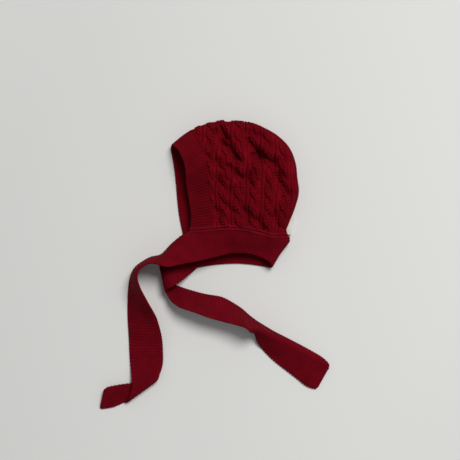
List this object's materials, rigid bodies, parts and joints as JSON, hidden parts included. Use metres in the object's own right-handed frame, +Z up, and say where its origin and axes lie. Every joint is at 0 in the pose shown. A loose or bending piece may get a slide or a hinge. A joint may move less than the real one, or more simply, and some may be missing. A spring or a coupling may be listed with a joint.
{
  "type": "baby bonnet",
  "caption": "Cable-knit baby bonnet with a ribbed face band and a neck band that runs on into two flat ties, lying on its side.",
  "frame": {"origin": "middle of the underside of the whole bonnet as it lies, at the level of the surface it rests on", "axes": "+Z up from the surface, +Y towards the top of the crown, +X towards the back of the head"},
  "size_m": [0.266, 0.3326, 0.0413],
  "materials": {
    "crown_knit": "soft wool cable knit in wine red",
    "band_knit": "fine one by one rib in the same yarn",
    "strap_knit": "flat fine rib in the same yarn",
    "label_tape": "bare off-white woven tape"
  },
  "bodies": {
    "root": {"crown": "crown_knit", "face_band": "band_knit", "neck_band_and_ties": "strap_knit", "label": "label_tape"}
  },
  "joints": []
}
